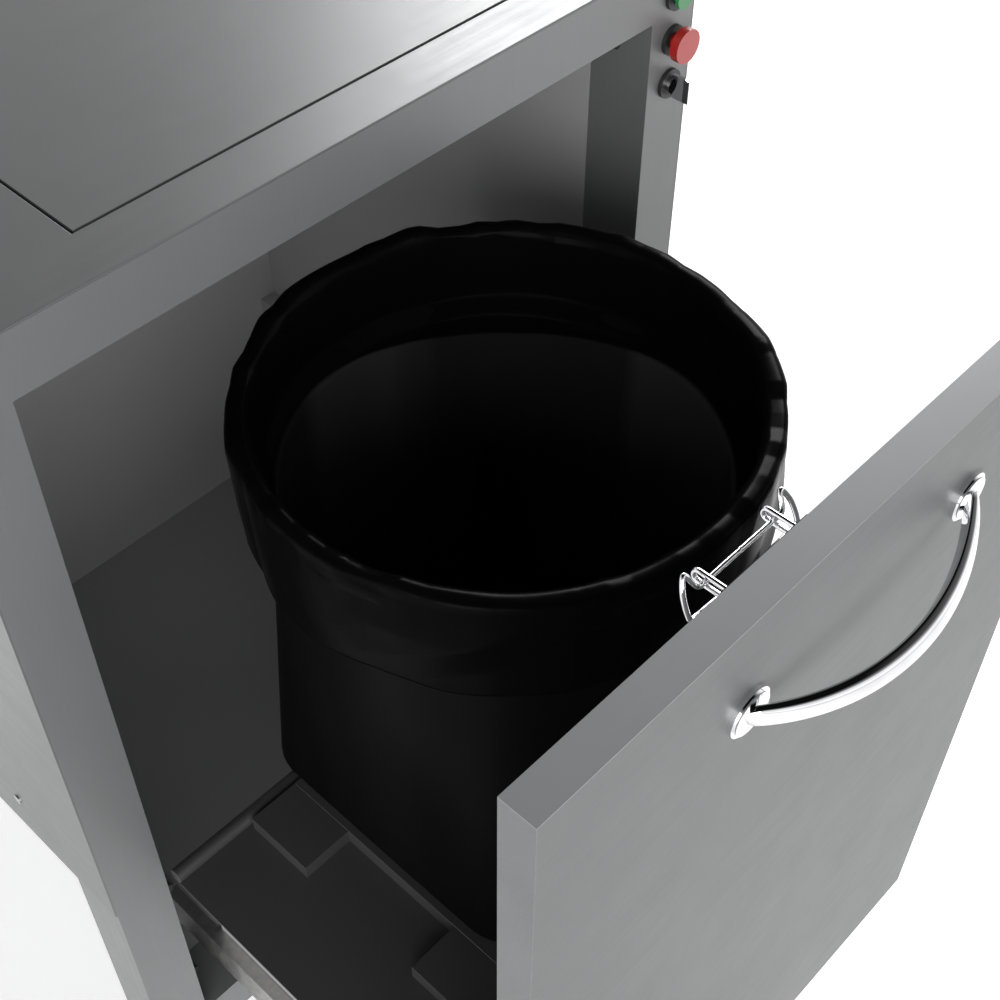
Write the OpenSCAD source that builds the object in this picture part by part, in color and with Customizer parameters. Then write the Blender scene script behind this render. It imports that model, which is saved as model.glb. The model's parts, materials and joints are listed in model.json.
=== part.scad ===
// Under-counter trash compactor: a cabinet with a pull-out bin drawer and an
// overhead telescopic press. Millimetres, +Z up. X = 0 is the middle of the width,
// Z = 0 is the floor, and Y = 0 is the middle of the depth with the drawer pulled out.
// The drawer is drawn pulled out and the press parked.

/* [Cabinet] */
// Width across the side skins
cabinet_w = 600; // [596:1:620]
// Height from the floor to the top panel
cabinet_h = 860; // [856:1:864]
// Depth from the front frame to the back panel
cabinet_d = 509.5; // [509.5:0.5:530]
// Height of the levelling feet
foot_h = 62; // [55:1:66]
// Depth of the front frame
frame_d = 52.2; // [45:0.1:52.2]

/* [Drawer] */
// Distance the drawer is pulled out
drawer_pull = 359; // [300:1:359]
// Thickness of the drawer front
front_t = 22; // [18:0.5:24]
// Gap around the drawer front
front_gap = 3.2; // [2.5:0.1:5]

/* [Bin] */
// Outer radius of the folded bag at the bin rim
rim_r = 171; // [168:1:174]
// Half width of the square foot of the bin
bin_half = 135; // [128:1:136]

/* [Press] */
// Travel of each telescopic stage
stage_travel = 56; // [40:1:60]
// Radius of the ram plate
ram_r = 126; // [110:1:127]

/* [Handle] */
// Half of the distance between the handle feet
handle_half = 99; // [80:1:120]
// Height of the arc of the bow
handle_rise = 31; // [24:1:40]

/* [Hidden] */

$fn = 64;
eps = 0.01;
hw = cabinet_w / 2;
skin = 1.5;
stile_w = 45.2;
rail_h = 44.3;
// Height of the lower edge of the side skins
side_z = 330;
top_z = cabinet_h - side_z;
base_z = foot_h - side_z;
floor_z = base_z + rail_h;
open_x = hw - stile_w;
open_top = top_z - rail_h;
front_x = open_x - front_gap;
front_top = open_top - front_gap;
front_bottom = floor_z + front_gap;
bow_drop = 16.6;
bow_leg = 6;
bow_r = (handle_half * handle_half + handle_rise * handle_rise) / (2 * handle_rise);
bow_angle = asin(handle_half / bow_r);
bow_z = 408;
handle_reach = bow_leg + handle_rise * cos(bow_drop) + 4.845;
front_y = (drawer_pull + handle_reach - cabinet_d) / 2;
back_y = cabinet_d - skin;
foot_y = [26, back_y - 24];
back_screw_x = hw - 20;
back_screw_z = [-240, 0, 240, 500];
liner_y = 471.5;
tub_x = hw - 62;
slide_x = tub_x - skin;
slide_len = 410;
slide_lo = -165;
slide_hi = -120;
press_y = 254;
motor_x = 160;
motor_z = floor_z + 52;
tray_z = -2;
platform_z = 12.5;
rim_z = 388;
shoulder_z = 328;
shoulder_r = 149;
plate_z = 424;
barrel_lo = plate_z + 7.5;
barrel_hi = 513;
stage_len = 79;
gland = 6;
stage_bore = [60, 54, 48, 42];
stage_gap = 0.3;
button_x = hw - 22.5;
hatch_x = 177.7;
hatch_lo = 41.5;
hatch_hi = 397;
hatch_gap = 2;
hatch_axis_y = hatch_hi - 14;
hatch_axis_z = top_z - 7;
clip_y = 36;
clip_z = 474;
clip_x = -68;
wire_r = 1.5;
port_x = 20;
pipe_lo = -124;
pipe_hi = 498;
pipe_x = [180, 202];
riser_y = liner_y + 14;

// Cabinet frame: origin at the front face, on the lower edge of the side skins
module cab() translate([0, front_y, side_z]) children();

// Drawer frame: drawn closed, then pulled out
module pulled() translate([0, front_y - drawer_pull, side_z]) children();

module slab(x0, x1, y0, y1, z0, z1) {
  translate([x0, y0, z0]) cube([x1 - x0, y1 - y0, z1 - z0]);
}

module pair() {
  children();
  mirror([1, 0, 0]) children();
}

module rod_y(x, z, r, y0, y1) {
  translate([x, y0, z]) rotate([-90, 0, 0]) cylinder(h = y1 - y0, r = r);
}

module rod_x(y, z, r, x0, x1) {
  translate([x0, y, z]) rotate([0, 90, 0]) cylinder(h = x1 - x0, r = r);
}

module rod_z(x, y, r, z0, z1) {
  translate([x, y, z0]) cylinder(h = z1 - z0, r = r);
}

module tube_z(r_out, r_in, z0, z1) {
  difference() {
    translate([0, 0, z0]) cylinder(h = z1 - z0, r = r_out);
    translate([0, 0, z0 - 1]) cylinder(h = z1 - z0 + 2, r = r_in);
  }
}

// Straight round wire between two points
module wire(a, b, r) {
  d = b - a;
  l = norm(d);
  translate(a) rotate([0, acos(d[2] / l), atan2(d[1], d[0])]) cylinder(h = l, r = r);
}

// Ring of folded channel, open towards +Y
module ring_channel(depth) {
  t = 2;
  ox = hw - skin;
  difference() {
    slab(-ox, ox, 0, depth, base_z, top_z - skin);
    slab(-open_x, open_x, -1, depth + 1, floor_z, open_top);
    difference() {
      slab(-ox + t, ox - t, t, depth + 1, base_z + t, top_z - skin - t);
      slab(-open_x - t, open_x + t, t - 1, depth + 2, floor_z - t, open_top + t);
    }
  }
}

module front_frame() {
  color("silver") cab() difference() {
    ring_channel(frame_d);
    for (z = [500, 466, 432]) rod_y(button_x, z, 8.2, -1, 3);
    slab(-hatch_x - 12.5, hatch_x + 12.5, hatch_lo - 10.5, frame_d + 1, top_z - 14, top_z);
  }
}

module rear_frame() {
  color("silver") cab() difference() {
    translate([0, back_y, 0]) mirror([0, 1, 0]) ring_channel(back_y - liner_y - 2);
    for (x = [-back_screw_x, back_screw_x], z = back_screw_z) rod_y(x, z, 2.2, back_y - 3, back_y + 1);
    for (x = pipe_x) rod_z(x, riser_y, 6.2, open_top - 1, open_top + 3);
  }
}

module side_skin() {
  cab() difference() {
    slab(hw - skin, hw, 0, back_y, 0, top_z - skin);
    for (y = [105, 400], z = [45, 480]) rod_x(y, z, 2.2, hw - skin - 1, hw + 1);
  }
}

module side_left() {
  color("silver") mirror([1, 0, 0]) side_skin();
}

module side_right() {
  color("silver") side_skin();
}

module side_screws() {
  color("gainsboro") cab() pair() for (y = [105, 400], z = [45, 480]) {
    rod_x(y, z, 4, hw, hw + 1.4);
    rod_x(y, z, 2, hw - 8, hw + 0.5);
    rod_x(y, z, 4, hw - 5.5, hw - skin - 0.2);
  }
}

module top_panel() {
  color("silver") cab() difference() {
    slab(-hw, hw, 0, cabinet_d, top_z - skin, top_z);
    slab(-hatch_x - hatch_gap, hatch_x + hatch_gap, hatch_lo - hatch_gap,
      hatch_hi + hatch_gap, top_z - skin - 1, top_z + 1);
  }
}

// Ledge under the top panel that carries the hatch lid, with the hinge lugs
module hatch_frame() {
  lo = top_z - 13;
  hi = top_z - skin;
  g = hatch_gap;
  color("dimgray") cab() {
    difference() {
      slab(-hatch_x - 12, hatch_x + 12, hatch_lo - 10, hatch_hi + 12, lo, hi);
      slab(-hatch_x - g, hatch_x + g, hatch_lo - g, hatch_hi + g, lo + 1.2, hi + 1);
      slab(-hatch_x + 10, hatch_x - 10, hatch_lo + 10, hatch_hi + g, lo - 1, hi + 1);
      slab(-hatch_x - g, hatch_x + g, hatch_hi - 30, hatch_hi + g, lo - 1, hi + 1);
    }
    pair() difference() {
      slab(hatch_x - 12, hatch_x - 8, hatch_hi - 37, hatch_axis_y + 4, lo, hatch_axis_z + 3.5);
      rod_x(hatch_axis_y, hatch_axis_z, 2.56, hatch_x - 13, hatch_x - 7);
    }
  }
}

// Flush lid with turned-down edges and two hinge pins
module hatch_lid() {
  lo = top_z - 8;
  color("silver") cab() {
    difference() {
      slab(-hatch_x, hatch_x, hatch_lo, hatch_hi, lo, top_z);
      slab(-hatch_x + 1.2, hatch_x - 1.2, hatch_lo + 1.2, hatch_hi + 1, lo - 1, top_z - skin);
      slab(-hatch_x - 1, hatch_x + 1, hatch_hi - 30, hatch_hi + 1, lo - 1, top_z - skin);
    }
    pair() {
      slab(hatch_x - 6.5, hatch_x - 3.5, hatch_axis_y - 3, hatch_axis_y + 3,
        hatch_axis_z - 3, top_z - skin + eps);
      rod_x(hatch_axis_y, hatch_axis_z, 2.5, hatch_x - 13, hatch_x - 4);
    }
  }
}

module back_panel() {
  color("silver") cab() difference() {
    slab(-hw + skin, hw - skin, back_y, cabinet_d, base_z, top_z - skin);
    for (i = [0:7], s = [-1, 1])
      slab(s * 120 - 60, s * 120 + 60, back_y - 1, cabinet_d + 1, -180 + i * 14, -175 + i * 14);
    slab(-230, -190, back_y - 1, cabinet_d + 1, -60, -32);
    for (x = [-back_screw_x, back_screw_x], z = back_screw_z)
      rod_y(x, z, 4.2, back_y - 1, back_y + 3);
  }
}

module back_screws() {
  color("gainsboro") cab() for (x = [-back_screw_x, back_screw_x], z = back_screw_z) {
    rod_y(x, z, 4, back_y, cabinet_d);
    rod_y(x, z, 2, back_y - 9, back_y + 0.5);
    rod_y(x, z, 4, back_y - 6, back_y - 2.2);
  }
}

// Lower machine bay, set in from the sides
module tub() {
  color("darkgray") cab() {
    difference() {
      slab(-tub_x, tub_x, frame_d + 0.3, liner_y - 0.5, floor_z - 2, -10.5);
      slab(-tub_x + skin, tub_x - skin, frame_d - 1, liner_y + 1, floor_z - 0.5, 0);
    }
    pair() {
      slab(tub_x - skin, hw - skin - 0.5, frame_d + 0.3, liner_y - 0.5, -12, -10.5);
      slab(tub_x - skin, open_x + 6, frame_d + 0.3, frame_d + 1.8, floor_z - 2, -10.5);
    }
  }
}

module upper_liner() {
  cab() slab(open_x, open_x + 1.2, frame_d + 0.3, liner_y - 0.5, -10, top_z - 3);
}

module liner_left() {
  color("darkgray") mirror([1, 0, 0]) upper_liner();
}

module liner_right() {
  color("darkgray") upper_liner();
}

module back_liner() {
  color("darkgray") cab() difference() {
    slab(-open_x - 1.2, open_x + 1.2, liner_y, liner_y + 1.5, floor_z - 2, top_z - 3);
    for (x = pipe_x, z = [pipe_lo, pipe_hi]) rod_y(x, z, 9.5, liner_y - 1, liner_y + 3);
  }
}

module front_buffers() {
  color("black") cab() pair() for (z = [-200, -60])
    rod_y(front_x - 5, z, 5, front_t + 0.5, frame_d + 0.3);
}

// Nested channels of the drawer runners
module slide_fixed() {
  color("gainsboro") cab() pair() difference() {
    slab(slide_x - 12.5, slide_x, 56, 56 + slide_len, slide_lo, slide_hi);
    slab(slide_x - 13, slide_x - 1.5, 55, 57 + slide_len, slide_lo + 1.5, slide_hi - 1.5);
  }
}

module slide_middle() {
  color("gainsboro") translate([0, -drawer_pull / 2, 0]) cab() pair() difference() {
    slab(slide_x - 12.5, slide_x - 2, 56, 56 + slide_len, slide_lo + 2.5, slide_hi - 2.5);
    slab(slide_x - 13, slide_x - 3.5, 55, 57 + slide_len, slide_lo + 4, slide_hi - 4);
  }
}

module slide_inner() {
  color("gainsboro") pulled() pair() difference() {
    slab(slide_x - 13, slide_x - 4.5, 56, 56 + slide_len, slide_lo + 5, slide_hi - 5);
    slab(slide_x - 11, slide_x - 4, 55, 57 + slide_len, slide_lo + 7, slide_hi - 7);
  }
}

// Folded pan, closed at the back by the inner panel
module drawer_front() {
  color("silver") pulled() difference() {
    slab(-front_x, front_x, 0, front_t, front_bottom, front_top);
    slab(-front_x + skin, front_x - skin, skin, front_t + 1, front_bottom + skin,
      front_top - skin);
    for (s = [-1, 1]) rod_y(s * handle_half, bow_z, 2.7, -1, skin + 1);
  }
}

module drawer_inner() {
  e = skin + 0.3;
  color("silver") pulled() difference() {
    slab(-front_x + e, front_x - e, front_t - 12, front_t, front_bottom + e, front_top - e);
    slab(-front_x + e + 1.2, front_x - e - 1.2, front_t - 13, front_t - 1.2,
      front_bottom + e + 1.2, front_top - e - 1.2);
  }
}

module drawer_plates() {
  x = slide_x - 13;
  color("gray") pulled() pair() {
    slab(x - 2, x, front_t, 356, slide_lo - 5, tray_z - skin);
    slab(x - 22, x, front_t, front_t + 2, slide_lo - 5, tray_z - skin);
  }
}

// Flat tray with a rolled rear edge
module bin_tray() {
  color("gray") pulled() {
    slab(-open_x + 4.8, open_x - 4.8, front_t, 352, tray_z - skin, tray_z);
    rod_x(352, 3.5, 6, -open_x + 4.8, open_x - 4.8);
  }
}

// Raised stand with four locating pads beside the bin
module bin_platform() {
  color("gray") pulled() {
    difference() {
      slab(-139, 139, 110, 344, tray_z, platform_z);
      slab(-137, 137, 112, 342, tray_z - 1, platform_z - 2);
    }
    pair() for (y = [110, 283]) difference() {
      slab(138, 182, y, y + 61, tray_z, platform_z - 0.5);
      slab(140, 180, y + 2, y + 59, tray_z - 1, platform_z - 2.5);
    }
  }
}

module tray_brackets() {
  x = open_x - 5;
  color("gray") pulled() pair() {
    slab(x - 20, x, front_t, front_t + 2, tray_z, 160);
    slab(x - 20, x, front_t, front_t + 70, tray_z, tray_z + 2);
    difference() {
      slab(x - 2, x, front_t, front_t + 70, tray_z, 160);
      translate([x - 3, front_t + 70, 12]) rotate([atan2(58, 148), 0, 0]) cube([4, 120, 220]);
    }
  }
}

// Square to round body between two outlines
module bin_body(inset, lo, hi) {
  h = bin_half - inset;
  r = 40 - inset;
  hull() {
    for (x = [-1, 1], y = [-1, 1])
      translate([x * (h - r), press_y + y * (h - r), lo]) cylinder(h = 0.5, r = r, $fn = 32);
    translate([0, press_y, hi - 0.5]) cylinder(h = 0.5, r = shoulder_r - inset, $fn = 64);
  }
}

// Tapered body with a wider collar above a shoulder, and a turned-out rim
module bin() {
  color("black") pulled() {
    difference() {
      bin_body(0, platform_z, shoulder_z);
      bin_body(3, platform_z + 3, shoulder_z + 1);
    }
    translate([0, press_y, 0]) {
      tube_z(rim_r - 9, shoulder_r - 2.5, shoulder_z - 3, shoulder_z);
      tube_z(rim_r - 9, rim_r - 12, shoulder_z - 3, rim_z);
      tube_z(rim_r - 2.5, rim_r - 12, rim_z - 6, rim_z);
    }
  }
}

// Film bag inside the bin, with its edge folded down over the rim
module bag() {
  color("black") pulled() {
    difference() {
      bin_body(4, platform_z + 4, shoulder_z + 1);
      bin_body(5, platform_z + 5, shoulder_z + 2);
    }
    translate([0, press_y, 0]) {
      tube_z(rim_r - 12.5, shoulder_r - 5, shoulder_z + 0.5, shoulder_z + 1.5);
      tube_z(rim_r - 12.5, rim_r - 13.5, shoulder_z + 0.5, rim_z + 2);
      tube_z(rim_r, rim_r - 13.5, rim_z + 1, rim_z + 2);
      tube_z(rim_r, rim_r - 1, rim_z - 84, rim_z + 2);
    }
  }
}

// Curved bow of an oval bar, turned in to the feet and cut square there
module handle_bow() {
  color("silver") pulled() translate([0, -bow_leg, bow_z]) difference() {
    union() {
      rotate([bow_drop, 0, 0]) translate([0, bow_r - handle_rise, 0])
        rotate([0, 0, -90 - bow_angle]) rotate_extrude(angle = 2 * bow_angle, $fn = 128)
          translate([bow_r, 0]) scale([0.94, 1.25]) circle(r = 5);
      pair() translate([handle_half, -2, 0]) rotate([-90, 0, 0])
        linear_extrude(height = bow_leg) scale([0.94, 1.25]) circle(r = 5);
    }
    slab(-handle_half - 20, handle_half + 20, bow_leg - 4.5, bow_leg + 20, -20, 20);
  }
}

module handle_feet() {
  color("silver") pulled() for (s = [-1, 1]) difference() {
    union() {
      rod_y(s * handle_half, bow_z, 15.5, -3, 0);
      rod_y(s * handle_half, bow_z, 13.5, -4.5, -3);
    }
    rod_y(s * handle_half, bow_z, 2.5, -6, 1);
  }
}

module handle_screws() {
  color("gainsboro") pulled() for (s = [-1, 1]) {
    rod_y(s * handle_half, bow_z, 2.2, -4.5, 16);
    rod_y(s * handle_half, bow_z, 4.5, skin, 4.5);
  }
}

// Two wire eyes on a plate at the inner face of the drawer front
module clip_lugs() {
  color("gainsboro") pulled() {
    slab(clip_x - 34, clip_x + 34, front_t, front_t + 1.5, clip_z - 9, clip_z + 6);
    for (s = [-1, 1]) translate([clip_x + s * 27, 0, clip_z - 1.5]) {
      for (z = [-3.4, 3.4]) rod_y(0, z, wire_r, front_t + 1, clip_y + 4);
      translate([0, clip_y + 4, 0]) rotate([90, 0, 90])
        rotate([0, 0, -90]) rotate_extrude(angle = 180) translate([3.4, 0]) circle(r = wire_r);
    }
  }
}

// Bent wire from the end of the pivot rod round to the middle of the lower bar
module ear() {
  pts = [[26, 0, 0], [34, 0, 0], [36.5, 6.5, 8], [42.5, 2, 0], [43, -4, -12], [-0.5, -6, -13.5]];
  for (i = [0:4]) wire(pts[i], pts[i + 1], wire_r);
  for (i = [1:4]) translate(pts[i]) sphere(r = wire_r + 0.15);
}

// Closed wire loop that turns in the two eyes
module clip_bail() {
  color("gainsboro") pulled() translate([clip_x, clip_y, clip_z - 1.5]) {
    rod_x(0, 0, wire_r, -26.5, 26.5);
    pair() ear();
  }
}

module press_beams() {
  color("dimgray") cab() for (y = [press_y - 88, press_y + 74]) difference() {
    slab(-open_x + 0.5, open_x - 0.5, y, y + 14, 488, barrel_hi);
    slab(-open_x, open_x, y + 2, y + 15, 490, barrel_hi - 2);
    for (x = [-port_x, port_x]) rod_y(x, pipe_hi, 5.6, y - 1, y + 3);
  }
}

module press_cap() {
  color("dimgray") cab() {
    slab(-88, 88, press_y - 88, press_y + 88, barrel_hi, barrel_hi + 4);
    for (x = [-76, 76], y = [-81, 81]) rod_z(x, press_y + y, 5, barrel_hi + 4, barrel_hi + 7);
  }
}

module press_barrel() {
  color("slategray") cab() {
    translate([0, press_y, 0]) {
      tube_z(66, stage_bore[0], barrel_lo, barrel_hi);
      tube_z(stage_bore[0] + 1, stage_bore[0] - 2, barrel_lo, barrel_lo + gland);
    }
    for (x = [-port_x, port_x]) difference() {
      rod_y(x, pipe_hi, 9, press_y + 59.2, press_y + 74);
      rod_y(x, pipe_hi, 5.2, press_y + 68, press_y + 75);
    }
  }
}

// Hollow stage with a stop collar above and a gland below
module stage(i, lo, bore, has_gland) {
  b = stage_bore[i];
  translate([0, press_y, 0]) {
    tube_z(b - 2 - stage_gap, bore, lo, barrel_lo + stage_len);
    tube_z(b - stage_gap, bore, barrel_lo + stage_len - gland, barrel_lo + stage_len);
    if (has_gland) tube_z(bore + 1, bore - 2, lo, lo + gland);
  }
}

module stage_1() {
  color("lightgray") cab() stage(0, barrel_lo - 0.3, stage_bore[1], true);
}

module stage_2() {
  color("lightgray") cab() stage(1, barrel_lo - 0.3, stage_bore[2], true);
}

module stage_3() {
  color("lightgray") cab() stage(2, barrel_lo - 0.3, stage_bore[3], true);
}

module stage_4() {
  color("lightgray") cab() stage(3, plate_z + 6, 34, false);
}

module ram_plate() {
  color("slategray") cab() translate([0, press_y, plate_z]) {
    cylinder(h = 6, r = ram_r);
    for (a = [0:45:315]) rotate([0, 0, a]) translate([70, -2, 5]) cube([ram_r - 76, 4, 10]);
  }
}

module ram_bolts() {
  color("gainsboro") cab() for (a = [0:60:300])
    translate([0, press_y, 0]) rotate([0, 0, a]) rod_z(26, 0, 4, plate_z + 6, plate_z + 10);
}

// Hydraulic power unit in the machine bay
module oil_tank() {
  color("dimgray") cab() {
    slab(108, 212, 190, 312, floor_z - 0.5, floor_z + 84);
    rod_z(128, 292, 12, floor_z + 84, floor_z + 92);
  }
}

module pump_block() {
  color("gainsboro") cab() {
    slab(160, 212, 196, 250, floor_z + 84, floor_z + 118);
    for (x = pipe_x) difference() {
      rod_y(x, pipe_lo, 8, 249, 268);
      rod_y(x, pipe_lo, 5.2, 255, 269);
    }
  }
}

module pump_motor() {
  color("darkslategray") cab() {
    difference() {
      rod_y(motor_x, motor_z, 44, 96, 190);
      rod_y(motor_x, motor_z, 5.06, 95, 130);
    }
    for (a = [0:30:330]) translate([motor_x, 0, motor_z]) rotate([0, a, 0])
      slab(43, 47, 104, 182, -1.2, 1.2);
    slab(motor_x - 30, motor_x + 30, 110, 176, floor_z - 0.5, floor_z + 14);
  }
}

module motor_fan() {
  color("black") cab() {
    rod_y(motor_x, motor_z, 5, 82, 128);
    rod_y(motor_x, motor_z, 10, 84, 93);
    translate([motor_x, 84, motor_z]) for (a = [0:60:300])
      rotate([0, a, 0]) translate([9, 0, -1.5]) cube([26, 9, 3]);
  }
}

module fan_cowl() {
  color("dimgray") cab() difference() {
    rod_y(motor_x, motor_z, 42, 74, 95.5);
    rod_y(motor_x, motor_z, 40, 76, 96);
    for (a = [0:45:315]) translate([motor_x, 0, motor_z]) rotate([0, a, 0])
      slab(14, 34, 73, 77, -4, 4);
  }
}

// Two lines from the pump block, up behind the liner, to the press barrel
module pipe_line(x, end_x, end_y) {
  r = 5;
  rod_y(x, pipe_lo, r, 256, riser_y);
  rod_z(x, riser_y, r, pipe_lo, pipe_hi);
  rod_y(x, pipe_hi, r, end_y, riser_y);
  rod_x(end_y, pipe_hi, r, end_x, x);
  rod_y(end_x, pipe_hi, r, press_y + 68.5, end_y);
  for (p = [[x, riser_y, pipe_lo], [x, riser_y, pipe_hi], [x, end_y, pipe_hi],
      [end_x, end_y, pipe_hi]])
    translate(p) sphere(r = r + 0.6);
}

module oil_pipes() {
  color("gainsboro") cab() {
    pipe_line(pipe_x[0], -port_x, 402);
    pipe_line(pipe_x[1], port_x, 376);
  }
}

module pipe_grommets() {
  color("black") cab() for (x = pipe_x, z = [pipe_lo, pipe_hi]) difference() {
    rod_y(x, z, 9.3, liner_y - 1.5, liner_y + 3);
    rod_y(x, z, 5.1, liner_y - 3, liner_y + 5);
  }
}

module button_cap(z, r, reach) {
  rod_y(button_x, z, r, -reach, -6.2);
  rod_y(button_x, z, 5, -6.5, 14);
}

module start_button() {
  color("green") cab() button_cap(500, 8, 9);
}

module stop_button() {
  color("red") cab() {
    button_cap(466, 8, 9);
    rod_y(button_x, 466, 12.5, -15, -8.5);
  }
}

module key_switch() {
  color("gainsboro") cab() {
    rod_y(button_x, 432, 6, -6, 14);
    slab(button_x - 1.5, button_x + 1.5, -20, -5, 423, 441);
  }
}

module signal_lamp() {
  color("orange") cab() rod_y(button_x, 519, 3, -1.5, 0);
}

module control_bezels() {
  color("black") cab() for (z = [500, 466, 432]) difference() {
    union() {
      rod_y(button_x, z, 11, -3, 0);
      rod_y(button_x, z, 8, -1, 20);
    }
    rod_y(button_x, z, 6.1, -4, 18);
  }
}

module control_board() {
  color("darkgreen") cab() {
    slab(hw - 38, hw - 8, 24, 26, 410, 515);
    for (x = [hw - 34, hw - 11], z = [449, 483]) rod_y(x, z, 2.5, 2, 24.5);
  }
}

module power_inlet() {
  color("black") cab() difference() {
    slab(-229.5, -190.5, back_y - 24, cabinet_d, -59.5, -32.5);
    slab(-224, -196, back_y - 12, cabinet_d + 1, -55, -37);
  }
}

module drawer_switch() {
  color("black") cab() {
    slab(open_x - 14, open_x - 0.2, 60, 84, 452, 478);
    rod_y(open_x - 8, 465, 3, front_t + 0.5, 61);
  }
}

module foot_pads() {
  color("black") cab() pair() for (y = foot_y)
    translate([hw - 24, y, -side_z]) cylinder(h = 12, r1 = 22, r2 = 18);
}

module foot_studs() {
  color("gainsboro") cab() pair() for (y = foot_y) {
    rod_z(hw - 24, y, 5, 12 - side_z, base_z);
    translate([hw - 24, y, base_z - 8]) cylinder(h = 8, r = 10, $fn = 6);
  }
}

front_frame();
rear_frame();
side_left();
side_right();
side_screws();
top_panel();
hatch_frame();
hatch_lid();
back_panel();
back_screws();
tub();
liner_left();
liner_right();
back_liner();
front_buffers();
slide_fixed();
slide_middle();
slide_inner();
drawer_front();
drawer_inner();
drawer_plates();
bin_tray();
bin_platform();
tray_brackets();
bin();
bag();
handle_bow();
handle_feet();
handle_screws();
clip_lugs();
clip_bail();
press_beams();
press_cap();
press_barrel();
stage_1();
stage_2();
stage_3();
stage_4();
ram_plate();
ram_bolts();
oil_tank();
pump_block();
pump_motor();
motor_fan();
fan_cowl();
oil_pipes();
pipe_grommets();
start_button();
stop_button();
key_switch();
signal_lamp();
control_bezels();
control_board();
power_inlet();
drawer_switch();
foot_pads();
foot_studs();
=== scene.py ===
"""Looks of the under-counter trash compactor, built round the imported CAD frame."""
import json
import math

import bpy
from mathutils import Matrix, Vector, noise


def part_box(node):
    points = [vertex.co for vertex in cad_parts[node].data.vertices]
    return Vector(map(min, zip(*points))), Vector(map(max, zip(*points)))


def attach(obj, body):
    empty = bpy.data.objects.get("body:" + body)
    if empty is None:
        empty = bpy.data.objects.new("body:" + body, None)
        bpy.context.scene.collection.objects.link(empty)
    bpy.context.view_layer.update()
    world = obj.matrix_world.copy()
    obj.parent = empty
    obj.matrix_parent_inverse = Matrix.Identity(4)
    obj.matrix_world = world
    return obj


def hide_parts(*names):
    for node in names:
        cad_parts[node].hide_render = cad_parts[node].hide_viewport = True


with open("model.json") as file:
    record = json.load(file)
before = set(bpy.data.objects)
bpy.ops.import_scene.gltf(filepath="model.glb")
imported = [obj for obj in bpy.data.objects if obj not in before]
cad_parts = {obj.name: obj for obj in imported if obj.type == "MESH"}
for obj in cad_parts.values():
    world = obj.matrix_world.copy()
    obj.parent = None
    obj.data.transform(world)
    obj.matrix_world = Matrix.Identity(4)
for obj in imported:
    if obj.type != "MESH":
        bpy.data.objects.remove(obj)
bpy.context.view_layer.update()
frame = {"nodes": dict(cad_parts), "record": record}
NODES = frame["nodes"]


# ---------------------------------------------------------------- measures
CABINET_W = 0.600
FLOOR_TO_SKIN = 0.330
DRAWER_PULL = 0.359
FRONT_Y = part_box("front_frame")[0].y
BAG_LO, BAG_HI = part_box("bag")
BIN_LO, BIN_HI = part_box("bin")
BIN_X = (BIN_LO.x + BIN_HI.x) / 2
BIN_Y = (BIN_LO.y + BIN_HI.y) / 2
RIM_R = (BIN_HI.x - BIN_LO.x) / 2
# half width and corner radius of the bin's square foot
BIN_HALF = 0.135
BIN_CORNER = 0.040
# top of the rim, then the shoulder and the collar under it
LIP = BIN_HI.z
SHOULDER_Z = LIP - 0.060
SHOULDER_R = 0.149
COLLAR_R = RIM_R - 0.0065
# outer radius of the folded bag and the height of its hem
BAG_R = (BAG_HI.x - BAG_LO.x) / 2
HEM_Z = LIP - 0.084


# ---------------------------------------------------------------- camera
def make_camera():
    """The photo's camera; its place is in cabinet widths from the front end of the left skin's lower edge."""
    cam = bpy.data.objects.new("camera", bpy.data.cameras.new("camera"))
    bpy.context.scene.collection.objects.link(cam)
    right = Vector((0.6885, -0.7252, 0.0021))
    up = Vector((0.5308, 0.5059, 0.6800))
    ahead = Vector((0.4942, 0.4670, -0.7333))
    turn = Matrix((right, up, -ahead)).transposed().to_4x4()
    across, before, above = 0.3218, 0.9440, 1.6998
    place = Vector((
        (-across - 0.5) * CABINET_W,
        FRONT_Y - before * CABINET_W,
        FLOOR_TO_SKIN + above * CABINET_W,
    ))
    cam.matrix_world = Matrix.Translation(place) @ turn
    cam.data.lens = 54.7
    cam.data.sensor_width = 36
    cam.data.clip_start = 0.02
    cam.data.clip_end = 60
    bpy.context.scene.camera = cam


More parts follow.
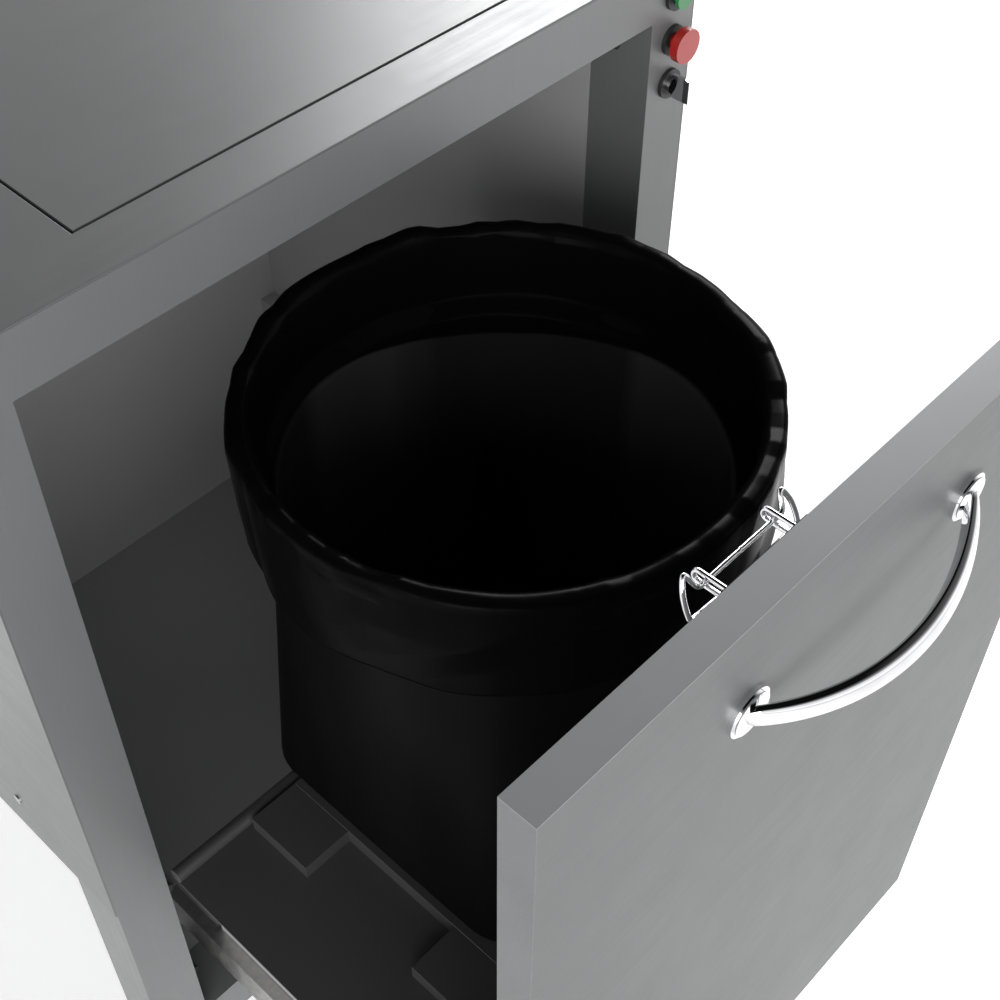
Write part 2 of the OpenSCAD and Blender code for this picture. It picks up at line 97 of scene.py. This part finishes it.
# ---------------------------------------------------------------- node helpers
class Shader:
    """A material under construction, with short calls for the usual nodes."""

    def __init__(self, name):
        self.mat = bpy.data.materials.new(name)
        self.mat.use_nodes = True
        self.tree = self.mat.node_tree
        self.tree.nodes.clear()
        self.out = self.tree.nodes.new("ShaderNodeOutputMaterial")
        self.bsdf = self.tree.nodes.new("ShaderNodeBsdfPrincipled")
        self.tree.links.new(self.bsdf.outputs[0], self.out.inputs[0])
        self.coord = self.tree.nodes.new("ShaderNodeTexCoord").outputs["Object"]

    def node(self, kind, **inputs):
        """A node with its inputs set; an underscore in a name stands for a space."""
        n = self.tree.nodes.new(kind)
        for key, value in inputs.items():
            self.feed(n, key.replace("_", " "), value)
        return n

    def feed(self, n, key, value):
        socket = n.inputs[key]
        if isinstance(value, bpy.types.NodeSocket):
            self.tree.links.new(value, socket)
        else:
            socket.default_value = value

    def set(self, **inputs):
        for key, value in inputs.items():
            self.feed(self.bsdf, key.replace("_", " "), value)
        return self

    def scaled(self, scale, shift=(0, 0, 0)):
        """The object's own coordinates, stretched and shifted."""
        m = self.tree.nodes.new("ShaderNodeMapping")
        self.tree.links.new(self.coord, m.inputs["Vector"])
        m.inputs["Scale"].default_value = scale
        m.inputs["Location"].default_value = shift
        return m.outputs[0]

    def noise(self, scale, detail=4.0, rough=0.55, stretch=(1, 1, 1), shift=(0, 0, 0)):
        n = self.node("ShaderNodeTexNoise", Scale=scale, Detail=detail, Roughness=rough)
        self.tree.links.new(self.scaled(stretch, shift), n.inputs["Vector"])
        return n.outputs["Fac"]

    def ramp(self, fac, stops):
        r = self.tree.nodes.new("ShaderNodeValToRGB")
        self.tree.links.new(fac, r.inputs[0])
        while len(r.color_ramp.elements) < len(stops):
            r.color_ramp.elements.new(0.5)
        for e, (at, color) in zip(r.color_ramp.elements, stops):
            e.position = at
            e.color = (*color, 1) if len(color) == 3 else color
        return r.outputs[0]

    def span(self, fac, lo, hi, at=(0.3, 0.7)):
        """The value lo to hi while fac runs over the stretch given by at, clamped outside it."""
        m = self.node("ShaderNodeMapRange", Value=fac)
        for key, value in zip(("From Min", "From Max", "To Min", "To Max"), (*at, lo, hi)):
            m.inputs[key].default_value = value
        return m.outputs[0]

    def math(self, op, a, b):
        n = self.tree.nodes.new("ShaderNodeMath")
        n.operation = op
        for i, v in enumerate((a, b)):
            if isinstance(v, bpy.types.NodeSocket):
                self.tree.links.new(v, n.inputs[i])
            else:
                n.inputs[i].default_value = v
        return n.outputs[0]

    def bump(self, height, strength, distance, normal=None):
        n = self.node("ShaderNodeBump", Height=height, Strength=strength, Distance=distance)
        if normal is not None:
            self.tree.links.new(normal, n.inputs["Normal"])
        return n.outputs[0]


def grey(v, tint=0.0):
    """A grey of that brightness, slightly blue when tint is above 0."""
    return (v * (1 - tint), v, v * (1 + tint))


# ---------------------------------------------------------------- materials
def brushed(name, value, rough, along, tint=0.012, lines=1.0, metal=0.28, shine=0.5, folds=None):
    """Satin steel sheet with fine brush lines along one axis and faint handling marks; where folds names a
    node, that node's top and left edges get a painted highlight.
    """
    s = Shader(name)
    stretch = {"x": (1, 60, 60), "y": (60, 1, 60), "z": (60, 60, 1)}[along]
    fine = s.noise(28, 5, 0.65, stretch)
    broad = s.noise(7, 3, 0.5, stretch, (3.1, 1.7, 0.4))
    cloud = s.noise(3.2, 3, 0.6, shift=(1.3, 7.7, 2.9))
    smudge = s.noise(19, 5, 0.7, shift=(5.1, 0.7, 3.3))
    tone = s.math("ADD", s.math("MULTIPLY", fine, 0.5), s.math("MULTIPLY", cloud, 0.5))
    stops = [(0.3, grey(value * 0.95, tint)), (0.7, grey(value * 1.04, tint))]
    # painted highlight: the top and left edges of the folds node are lifted to almost twice the steel's
    # lightness
    if folds:
        tone = s.math("ADD", tone, s.math("MULTIPLY", painted_edge_highlight(s, folds), 0.6))
        stops.append((1.0, grey(value * 1.95, tint)))
    s.set(
        Metallic=metal,
        Specular_IOR_Level=shine,
        Base_Color=s.ramp(tone, stops),
        Roughness=s.math("ADD", s.span(broad, rough - 0.02 * lines, rough + 0.03 * lines),
                         s.span(smudge, -0.015, 0.03)),
        Normal=s.bump(fine, 0.05 * lines, 0.0002, s.bump(cloud, 0.04, 0.002)),
    )
    return s.mat


def painted_edge_highlight(s, node):
    """Mask of the painted highlight on the sheet's folded edges: 1 on a node's top edge, and less on its left
    edge.
    """
    points = [v.co for v in NODES[node].data.vertices]
    top = max(p.z for p in points)
    left = min(p.x for p in points)
    split = s.tree.nodes.new("ShaderNodeSeparateXYZ")
    s.tree.links.new(s.coord, split.inputs[0])
    thin, wide = 0.0005, 0.0011
    upper = s.span(split.outputs[2], 0.0, 1.0, (top - wide, top - thin))
    side = s.span(split.outputs[0], 0.45, 0.0, (left + thin, left + wide))
    return s.math("MAXIMUM", upper, side)


def plated(name, value, rough):
    """Zinc-plated steel with a mottled grain."""
    s = Shader(name)
    grain = s.noise(160, 4, 0.6)
    s.set(
        Metallic=1.0,
        Base_Color=s.ramp(grain, [(0.35, grey(value * 0.86)), (0.65, (value * 1.05, value * 1.03, value))]),
        Roughness=s.span(grain, rough - 0.06, rough + 0.08),
        Normal=s.bump(grain, 0.08, 0.0003),
    )
    return s.mat


def chrome(name):
    """Polished chrome with a faint haze."""
    s = Shader(name)
    haze = s.noise(45, 4, 0.6)
    s.set(
        Metallic=1.0,
        Base_Color=s.ramp(haze, [(0.3, (0.80, 0.80, 0.81)), (0.7, (0.90, 0.90, 0.91))]),
        Roughness=s.span(haze, 0.02, 0.055),
        Normal=s.bump(s.noise(90, 3), 0.02, 0.0003),
    )
    return s.mat


def painted(name, color, rough, peel=0.06):
    """Coated metal with orange peel and slightly uneven gloss."""
    s = Shader(name)
    peel_fac = s.noise(420, 3, 0.5)
    cloud = s.noise(9, 4, 0.6)
    lo, hi = [c * 0.88 for c in color], [c * 1.1 for c in color]
    s.set(
        Base_Color=s.ramp(cloud, [(0.3, lo), (0.7, hi)]),
        Roughness=s.span(cloud, rough - 0.05, rough + 0.07),
        Normal=s.bump(peel_fac, peel, 0.0004),
    )
    return s.mat


def plastic(name, color, rough, grain=0.12, coat=0.0):
    """Moulded plastic with a fine grain, clear-coated where coat is above 0."""
    s = Shader(name)
    fine = s.noise(700, 3, 0.5)
    cloud = s.noise(14, 4, 0.6)
    lo, hi = [c * 0.85 for c in color], [c * 1.12 for c in color]
    s.set(
        Base_Color=s.ramp(cloud, [(0.3, lo), (0.7, hi)]),
        Roughness=s.span(cloud, rough - 0.04, rough + 0.06),
        Normal=s.bump(fine, grain, 0.0003),
        Coat_Weight=coat,
        Coat_Roughness=0.12,
    )
    return s.mat


def bin_plastic(name):
    """Moulded black plastic with a soft shine and faint vertical flow marks."""
    s = Shader(name)
    flow = s.noise(9, 4, 0.6, (1, 1, 0.15))
    scuff = s.noise(60, 6, 0.7, (1, 1, 0.4))
    s.set(
        Base_Color=s.ramp(flow, [(0.3, (0.0030, 0.0030, 0.0032)), (0.7, (0.0052, 0.0052, 0.0055))]),
        Roughness=s.math("ADD", s.span(flow, 0.30, 0.36), s.span(scuff, 0.0, 0.07, (0.45, 0.75))),
        Normal=s.bump(s.noise(300, 3), 0.04, 0.0003),
        Specular_IOR_Level=0.010,
    )
    return s.mat


def bag_film(name):
    """Thin black film: faint crinkles, glossy at the folded edge and duller inside the bin, where below the
    collar it is painted lighter as light on the lining, more so towards the bottom, with painted vertical
    highlight streaks.
    """
    s = Shader(name)
    crinkle = s.noise(38, 5, 0.6, (1, 1, 0.6))
    sheen = s.noise(8, 3, 0.5)
    place = s.tree.nodes.new("ShaderNodeSeparateXYZ")
    s.tree.links.new(s.coord, place.inputs[0])
    height = place.outputs[2]
    dx = s.math("SUBTRACT", place.outputs[0], BIN_X)
    dy = s.math("SUBTRACT", place.outputs[1], BIN_Y)
    # the painted light on the lining starts lower at the back right
    sag = s.math("POWER", s.span(s.math("ADD", dx, dy), 0.0, 1.0, (0.05, 0.206)), 3.0)
    level = s.math("ADD", height, s.math("MULTIPLY", sag, 0.017))
    # squared distance from the axis, which keeps the cuff outside the mask
    square = s.math("ADD", s.math("MULTIPLY", dx, dx), s.math("MULTIPLY", dy, dy))
    within = s.span(square, 1.0, 0.0, (0.0235, 0.0245))
    # the film inside the bin below the collar is painted lighter, as light on the lining, and made duller
    inside = s.math("MULTIPLY", s.span(level, 0.10, 0.0, (LIP - 0.063, LIP - 0.060)), within)
    lip = s.span(height, 0.007, 0.022, (LIP - 0.004, LIP + 0.001))
    # the painted light grows towards the bottom of the lining and has vertical painted highlight streaks
    deep = s.span(height, 1.0, 0.0, (BIN_LO.z, LIP - 0.070))
    painted_streaks = s.span(s.noise(6.5, 2, 0.4, (1, 1, 0.08), (0.4, 2.2, 0.0)), 0.0, 1.0, (0.60, 0.66))
    share = s.math("ADD", 0.25, s.math("MULTIPLY", deep, 0.55))
    share = s.math("ADD", share, s.math("MULTIPLY", painted_streaks, 0.30))
    tone = s.math("MULTIPLY", s.math("MULTIPLY", inside, 10.0), share)
    s.set(
        # the last stop is the painted light on the lining inside the bin
        Base_Color=s.ramp(s.math("ADD", s.math("MULTIPLY", sheen, 0.12), tone),
                          [(0.03, (0.0022, 0.0022, 0.0024)), (0.12, (0.0036, 0.0036, 0.0039)),
                           (1.0, (0.060, 0.060, 0.061))]),
        Roughness=s.math("ADD", s.span(crinkle, 0.18, 0.28), inside),
        Normal=s.bump(crinkle, 0.10, 0.0010),
        Specular_IOR_Level=lip,
    )
    return s.mat


def make_materials():
    """Every material by its slot's name, with the steels brushed along y and z beside them; the steels are
    copies of one satin steel, each painted lighter or darker as light and shade for its part.
    """
    return {
        # the satin steel copies below are one steel, each made lighter or darker as painted light and shade
        # for how its part is lit
        "panel_steel": brushed("satin_steel_x", 0.205, 0.38, "x"),
        "panel_y": brushed("satin_steel_y", 0.165, 0.38, "y"),
        "panel_z": brushed("satin_steel_z", 0.190, 0.38, "z"),
        # drawer face: a darker copy of the steel as painted shade, with a painted highlight on its top and
        # left edges
        "drawer_steel": brushed("drawer_steel", 0.128, 0.36, "x", metal=0.14, shine=0.12,
                                folds="drawer_front"),
        "top_steel": brushed("top_steel", 0.165, 0.34, "x", metal=0.40),
        "frame_steel": brushed("frame_steel", 0.26, 0.36, "x"),
        # liner: the same steel painted much lighter and mostly diffuse, standing in for light inside the
        # shaded cabinet
        "liner_steel": brushed("liner_steel", 0.42, 0.45, "x", tint=0.0, lines=0.6, metal=0.15),
        "tray_steel": brushed("tray_steel", 0.085, 0.38, "x", tint=0.0, metal=0.4),
        "dark_steel": painted("dark_steel", (0.035, 0.035, 0.038), 0.42),
        "zinc_steel": plated("zinc_steel", 0.55, 0.34),
        "chrome": chrome("chrome"),
        "press_paint": painted("press_paint", (0.10, 0.105, 0.115), 0.38),
        "bin_plastic": bin_plastic("bin_plastic"),
        "bag_film": bag_film("bag_film"),
        "black_plastic": plastic("black_plastic", (0.02, 0.02, 0.021), 0.45),
        "green_plastic": plastic("green_plastic", (0.02, 0.22, 0.06), 0.3, 0.04, 0.5),
        "red_plastic": plastic("red_plastic", (0.42, 0.02, 0.016), 0.3, 0.04, 0.5),
        "amber_lens": plastic("amber_lens", (0.70, 0.26, 0.02), 0.18, 0.02, 0.8),
        "board": plastic("board", (0.02, 0.09, 0.045), 0.35, 0.03, 0.3),
        "rubber": plastic("rubber", (0.018, 0.018, 0.018), 0.72, 0.3),
        "motor_iron": painted("motor_iron", (0.045, 0.05, 0.055), 0.5, 0.25),
        "pump_alloy": plated("pump_alloy", 0.62, 0.4),
    }


def dress_nodes(mats):
    """Every CAD node takes the material of its slot, or a steel of its own where one is listed: a copy of the
    steel painted lighter or darker for how that part is lit.
    """
    slots = {row["node"]: row["material_slot"] for row in frame["record"]["subparts"]}
    own = {
        "side_left": "panel_y", "side_right": "panel_y", "front_frame": "panel_z",
        "top_panel": "top_steel", "hatch_lid": "top_steel", "drawer_front": "drawer_steel",
        "bin_tray": "tray_steel", "bin_platform": "tray_steel",
    }
    for name, obj in NODES.items():
        mat = mats[own.get(name, slots[name])]
        obj.data.materials.clear()
        obj.data.materials.append(mat)


def soften(name, width, angle=35):
    """Small rounded folds on a sheet-metal node, added as modifiers."""
    obj = NODES[name]
    for poly in obj.data.polygons:
        poly.use_smooth = True
    weld = obj.modifiers.new("weld", "WELD")
    weld.merge_threshold = 0.00002
    flat = obj.modifiers.new("flat", "DECIMATE")
    flat.decimate_type = "DISSOLVE"
    flat.angle_limit = math.radians(0.5)
    bevel = obj.modifiers.new("fold", "BEVEL")
    bevel.width = width
    bevel.segments = 3
    bevel.limit_method = "ANGLE"
    bevel.angle_limit = math.radians(angle)
    even = obj.modifiers.new("even", "WEIGHTED_NORMAL")
    even.keep_sharp = False


# ---------------------------------------------------------------- shapes
def mesh_object(name, verts, faces, mat, smooth=True):
    """A new object in the scene, from its points and faces."""
    mesh = bpy.data.meshes.new(name)
    mesh.from_pydata(verts, [], faces)
    mesh.update()
    for p in mesh.polygons:
        p.use_smooth = smooth
    mesh.materials.append(mat)
    obj = bpy.data.objects.new(name, mesh)
    bpy.context.scene.collection.objects.link(obj)
    return obj


def square_radius(theta, half, corner):
    """Distance from the centre to the edge of a square with rounded corners."""
    c, s = abs(math.cos(theta)), abs(math.sin(theta))
    if s > c:
        c, s = s, c
    flat = half - corner
    if half * s / max(c, 1e-9) <= flat:
        return half / c
    b = flat * (c + s)
    return b + math.sqrt(max(b * b - (2 * flat * flat - corner * corner), 0.0))


def bin_radius(theta, z, inset=0.0):
    """Outline of the bin's body, from a rounded square at the foot to a circle at the shoulder."""
    t = min(max((z - BIN_LO.z) / (SHOULDER_Z - BIN_LO.z), 0.0), 1.0)
    low = square_radius(theta, BIN_HALF - inset, BIN_CORNER - inset)
    return low + (SHOULDER_R - inset - low) * t


def loft(rings, closed_end=True):
    """Points and faces of a tube through rings; the first ring closes to its middle if asked to."""
    count = len(rings[0])
    verts = [p for ring in rings for p in ring]
    faces = []
    for r in range(len(rings) - 1):
        for i in range(count):
            j = (i + 1) % count
            faces.append((r * count + i, r * count + j, (r + 1) * count + j, (r + 1) * count + i))
    if closed_end:
        ring = rings[0]
        verts.append(tuple(sum(p[k] for p in ring) / count for k in range(3)))
        faces += [((i + 1) % count, i, len(verts) - 1) for i in range(count)]
    return verts, faces


def turn_points(count):
    """Evenly spaced angles over one turn."""
    return [2 * math.pi * i / count for i in range(count)]


def round_ring(angles, at):
    """One ring of points round the bin's axis; at() gives the radius and height at an angle."""
    return [(BIN_X + math.cos(a) * r, BIN_Y + math.sin(a) * r, z) for a in angles for r, z in (at(a),)]


def make_bin(mats):
    """Bin with a rounded foot, a tapered wall, a soft shoulder, a collar and a rolled rim."""
    angles = turn_points(160)
    foot = BIN_LO.z
    bend = 0.007
    wall = 0.003
    rings = []

    def body(inset, z):
        rings.append(round_ring(angles, lambda a: (bin_radius(a, z, inset), z)))

    def circle(radius, z):
        rings.append(round_ring(angles, lambda a: (radius, z)))

    body(0.030, foot + 0.0030)
    body(0.012, foot + 0.0030)
    body(0.010, foot)
    for k in range(7):
        a = math.radians(15 * k)
        body(bend - bend * math.sin(a), foot + bend - bend * math.cos(a))
    for k in range(1, 15):
        body(0.0, foot + bend + (SHOULDER_Z - 0.008 - foot - bend) * k / 14)
    for k in range(1, 9):
        t = k / 8
        ease = t * t * (3 - 2 * t)
        circle(SHOULDER_R + (COLLAR_R - SHOULDER_R) * ease, SHOULDER_Z - 0.006 + 0.016 * t)
    circle(COLLAR_R, LIP - 0.010)
    circle(RIM_R - 0.003, LIP - 0.0065)
    circle(RIM_R, LIP - 0.0045)
    circle(RIM_R - 0.0005, LIP - 0.0018)
    circle(RIM_R - 0.0030, LIP - 0.0002)
    circle(COLLAR_R - 0.0010, LIP - 0.0002)
    circle(COLLAR_R - wall, LIP - 0.0020)
    circle(COLLAR_R - wall, SHOULDER_Z + 0.010)
    circle(SHOULDER_R - wall, SHOULDER_Z - 0.002)
    for k in range(9):
        body(0.0031, SHOULDER_Z - 0.006 + (foot + 0.004 - SHOULDER_Z + 0.006) * k / 8)
    body(0.020, foot + 0.0035)
    verts, faces = loft(rings)
    obj = mesh_object("bin_shell", verts, faces, mats["bin_plastic"])
    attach(obj, "drawer")
    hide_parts("bin")


def wave(theta, z, turns, rise, seed):
    """Smooth noise that closes on itself round the bin, from -1 to 1."""
    p = Vector((math.cos(theta) * turns, math.sin(theta) * turns, z * rise + seed))
    return noise.noise(p)


def facet(theta, count, seed):
    """Uneven straight-sided outline round the bin, from -1 to 1, with a corner at each of its points."""
    at = (theta / (2 * math.pi)) * count + 0.35 * math.sin(3 * theta + seed)
    low = math.floor(at)
    ends = [noise.noise(Vector((1.7 * (i % count) + 0.31, seed, 0.5))) * 2 for i in (low, low + 1)]
    return ends[0] + (ends[1] - ends[0]) * (at - low)


def tucks(theta):
    """Small gathers of the folded edge, from -1 to 1."""
    return facet(theta, 74, 9.0)


def scallops(theta):
    """Longer straight runs of the folded edge, from -1 to 1."""
    return facet(theta, 31, 5.0)


def make_bag(mats):
    """Film bag: lining, inner collar, folded edge over the rim and a broad cuff outside."""
    angles = turn_points(640)
    floor = BIN_LO.z + 0.005
    rings = []

    def ring(at):
        rings.append(round_ring(angles, at))

    # bottom, slightly slack
    for share in (0.12, 0.3, 0.5, 0.68, 0.84, 0.95):
        ring(lambda a: (bin_radius(a, floor, 0.007) * share,
                        floor + 0.0025 + 0.002 * wave(a, share * 3, 2.5, 1, 4)
                        + 0.006 * max(0.0, share - 0.8) / 0.2))
    # lining wall with long hanging folds
    steps = 46
    for k in range(steps + 1):
        h = k / steps
        z = floor + 0.010 + (SHOULDER_Z - 0.010 - floor - 0.010) * h

        def wall(a):
            fold = max(0.0, wave(a, z, 3.4, 1.4, 11)) * 0.0075
            fold += max(0.0, facet(a, 26, 3.0)) * 0.0030
            return bin_radius(a, z, 0.0045) - fold * (0.35 + 0.65 * math.sin(math.pi * h)), z
        ring(wall)
    # soft step over the shoulder, then the inner collar
    inner = RIM_R - 0.0105
    for k in range(1, 9):
        t = k / 8
        ease = t * t * (3 - 2 * t)

        def step(a):
            sag = 0.007 * (1 + wave(a, 0, 1.6, 1, 21))
            return (SHOULDER_R - 0.0050 + (inner - 0.0015 - SHOULDER_R + 0.0050) * ease,
                    SHOULDER_Z - 0.006 + (0.010 + sag) * t)
        ring(step)
    steps = 18
    for k in range(1, steps + 1):
        h = k / steps

        def collar(a):
            low = SHOULDER_Z + 0.004 + 0.007 * (1 + wave(a, 0, 1.6, 1, 21))
            z = low + (LIP - 0.002 - low) * h
            pull = 0.0012 * (1 + wave(a, z, 4, 9, 7)) + 0.0011 * h * (1 + tucks(a))
            return inner - pull, z
        ring(collar)

    # folded edge over the rim: flat-topped, with short straight runs and small tucks
    def edge(a):
        tuck = 0.0011 * tucks(a) + 0.0009 * scallops(a)
        return 0.0028 + 0.0034 * (1 + facet(a, 23, 2.0)) * 0.5 + tuck

    r0, r1 = inner - 0.0005, BAG_R - 0.0002
    for k in range(1, 13):
        t = math.pi * k / 12

        def over(a):
            side = -math.cos(t)
            out = 0.0019 * scallops(a) + 0.0009 * tucks(a)
            r = (r0 + r1) / 2 + side * (r1 - r0) / 2 + max(side, 0.0) * out
            return r, LIP - 0.002 + math.sin(t) ** 0.55 * (edge(a) + 0.0012)
        ring(over)

    # broad cuff outside, drawn in towards the hem and standing off at the front right
    steps = 34
    flare_at = math.radians(313.4)

    def cuff(a, h):
        end = HEM_Z + 0.0035 * wave(a, 0, 2.2, 1, 41)
        z = LIP - 0.002 + (end - LIP + 0.002) * h
        out = 0.0019 * scallops(a) + 0.0009 * tucks(a) * max(0.0, 1 - 3 * h)
        sweep = a + 0.9 * h
        broad = 0.0022 * facet(sweep, 15, 51.0) * min(1.0, 2.5 * h)
        slack = 0.0014 * wave(a, z, 2.6, 22, 53) * math.sin(math.pi * min(h, 1.0))
        flare = 0.0105 * h * math.exp(-((a - flare_at) / 0.42) ** 2)
        r = BAG_R - 0.0048 * h ** 1.2 + out + broad + slack + flare
        return max(r, RIM_R + 0.0008 if h < 0.12 else COLLAR_R + 0.0010), z

    for k in range(1, steps + 1):
        ring(lambda a: cuff(a, k / steps))
    for inward, up in ((0.0008, -0.0006), (0.0014, 0.0002), (0.0015, 0.0060)):
        def turned(a):
            r, z = cuff(a, 1.0)
            return r - inward, z + up
        ring(turned)
    verts, faces = loft(rings)
    obj = mesh_object("bag_liner", verts, faces, mats["bag_film"])
    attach(obj, "drawer")
    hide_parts("bag")


def smooth_path(points, per):
    """A rounded closed path through the points, with that many steps from each to the next."""
    count = len(points)
    pts = [Vector(p) for p in points]
    path = []
    for i in range(count):
        a, b, c, d = (pts[(i + k) % count] for k in (-1, 0, 1, 2))
        for k in range(per):
            t = k / per
            path.append(0.5 * (2 * b + (c - a) * t + (2 * a - 5 * b + 4 * c - d) * t * t
                               + (3 * b - a - 3 * c + d) * t ** 3))
    return path


def tube(name, path, radius, mat, sides=16):
    """Round wire along a closed path."""
    rings = []
    side = Vector((0, 0, 1))
    for i, p in enumerate(path):
        along = (path[(i + 1) % len(path)] - path[i - 1]).normalized()
        side = (side - along * side.dot(along)).normalized()
        other = along.cross(side)
        rings.append([tuple(p + (side * math.cos(a) + other * math.sin(a)) * radius)
                      for a in turn_points(sides)])
    rings.append(rings[0])
    verts, faces = loft(rings, closed_end=False)
    return mesh_object(name, verts, faces, mat)


def rounded(corners, cuts):
    """A closed outline with its corners cut round."""
    for _ in range(cuts):
        cut = []
        for i, (x, y) in enumerate(corners):
            u, v = corners[(i + 1) % len(corners)]
            cut += [(x * 0.82 + u * 0.18, y * 0.82 + v * 0.18), (x * 0.18 + u * 0.82, y * 0.18 + v * 0.82)]
        corners = cut
    return corners


def make_bow(mats):
    """Polished bow, fuller in the middle and running into its feet at both ends."""
    lo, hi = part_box("handle_feet")
    foot_r = 0.0155
    half = (hi.x - lo.x) / 2 - foot_r
    face = lo.y
    rise = 0.031
    bend = (half * half + rise * rise) / (2 * rise)
    reach = math.asin(half / bend)
    drop = math.radians(16.6)
    end, last = (1.045, 0.0018, 0.0030), (1.03, 0.0030, 0.0048)
    mid = Vector(((lo.x + hi.x) / 2, face - 0.0015, (lo.z + hi.z) / 2))
    # each station: its place along the arc, half width and half height
    stations = [(-end[0], *end[1:]), (-last[0], *last[1:])]
    for k in range(-40, 41):
        stations.append((k / 40, 0.0039 + 0.0019 * math.cos(math.pi / 2 * k / 40) ** 0.7, 0.0058))
    stations += [last, end]
    section = rounded([(-1, -0.75), (-0.65, -1), (0.65, -1), (1, -0.6),
                       (1, 0.0), (0.08, 1), (-0.85, 1), (-1, 0.8)], 3)
    rings = []
    for turn, wide, tall in stations:
        phi = reach * turn
        out = Vector((math.sin(phi), -math.cos(phi) * math.cos(drop), -math.cos(phi) * math.sin(drop)))
        up = Vector((0, -math.sin(drop), math.cos(drop)))
        centre = mid + out * bend - Vector((0, -math.cos(drop), -math.sin(drop))) * (bend - rise)
        rings.append([tuple(centre + out * wide * x + up * tall * y) for x, y in section])
    verts, faces = loft(rings)
    count = len(section)
    faces.append(tuple(range(len(rings) * count - count, len(rings) * count)))
    obj = mesh_object("bow_bar", verts, faces, mats["chrome"])
    even = obj.modifiers.new("even", "WEIGHTED_NORMAL")
    even.keep_sharp = False
    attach(obj, "drawer")
    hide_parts("handle_bow")


def make_clip(mats):
    """The wire loop of the bag clip, with rounded bends."""
    lo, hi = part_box("clip_bail")
    mid = Vector(((lo.x + hi.x) / 2, FRONT_Y - DRAWER_PULL + 0.036, FLOOR_TO_SKIN + 0.4725))
    # half of the loop in millimetres from the middle of its pivot rod: rod, bent ear, lower bar
    half = [(0, 0, 0), (13, 0, 0), (26, 0, 0), (33, 0.4, 0.6), (36.6, 5.2, 7.0), (38.8, 5.4, 7.2),
            (42.2, 1.5, 0), (42.9, -3.2, -9.5), (40.5, -4.4, -12.2), (26, -4.9, -12.8), (13, -5.4, -13.2),
            (0, -6, -13.5)]
    loop = half + [(-x, y, z) for x, y, z in half[-2:0:-1]]
    path = smooth_path([mid + Vector(p) * 0.001 for p in loop], 6)
    wire_r = 0.0015
    obj = tube("clip_wire", path, wire_r, mats["chrome"])
    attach(obj, "clip")
    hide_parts("clip_bail")


# ---------------------------------------------------------------- stage
def make_stage():
    """Pale floor, a sky that is bright at the horizon and dark overhead, and two softboxes."""
    side = 9
    corners = [(-side, -side, 0), (side, -side, 0), (side, side, 0), (-side, side, 0)]
    floor = mesh_object("floor", corners, [(0, 1, 2, 3)], floor_material(), False)
    world = bpy.data.worlds.new("studio")
    bpy.context.scene.world = world
    world.use_nodes = True
    tree = world.node_tree
    split = tree.nodes.new("ShaderNodeSeparateXYZ")
    tree.links.new(tree.nodes.new("ShaderNodeTexCoord").outputs["Generated"], split.inputs[0])
    sky = tree.nodes.new("ShaderNodeValToRGB")
    tree.links.new(split.outputs[2], sky.inputs[0])
    stops = [(0.0, 1.30), (0.30, 0.95), (0.58, 0.36), (0.78, 0.004)]
    while len(sky.color_ramp.elements) < len(stops):
        sky.color_ramp.elements.new(0.5)
    for e, (at, value) in zip(sky.color_ramp.elements, stops):
        e.position = at
        e.color = (value, value, value * 1.01, 1)
    tree.links.new(sky.outputs[0], tree.nodes["Background"].inputs[0])
    softbox("light_front_left", (-2.7, -2.9, 1.5), (0.0, -0.1, 0.5), 4.4, 3.0, 150)
    softbox("light_back_right", (3.16, 1.57, 2.8), (0.2, 0.0, 0.6), 2.6, 1.5, 150)
    bpy.context.scene.view_settings.view_transform = "Standard"


def floor_material():
    """Near-white backdrop that glows a little, so that it stays white in the picture."""
    s = Shader("studio_floor")
    cloud = s.noise(1.1, 3, 0.5)
    s.set(Base_Color=s.ramp(cloud, [(0.3, grey(0.90)), (0.7, grey(0.92))]),
          Roughness=s.span(cloud, 0.85, 0.92),
          Emission_Color=(1, 1, 1, 1), Emission_Strength=0.40)
    return s.mat


def softbox(name, place, target, width, height, watts):
    """A rectangular light aimed at a point."""
    light = bpy.data.lights.new(name, "AREA")
    light.shape = "RECTANGLE"
    light.size = width
    light.size_y = height
    light.energy = watts
    obj = bpy.data.objects.new(name, light)
    bpy.context.scene.collection.objects.link(obj)
    aim = Vector(target) - Vector(place)
    obj.location = place
    obj.rotation_euler = aim.to_track_quat("-Z", "Y").to_euler()


# ---------------------------------------------------------------- build
make_camera()
MATS = make_materials()
dress_nodes(MATS)
for node, fold in (("drawer_front", 0.0010), ("front_frame", 0.0009), ("top_panel", 0.0006),
                   ("side_left", 0.0006), ("side_right", 0.0006), ("hatch_lid", 0.0007),
                   ("rear_frame", 0.0009), ("bin_platform", 0.0010)):
    soften(node, fold)
make_bin(MATS)
make_bag(MATS)
make_clip(MATS)
make_bow(MATS)
make_stage()
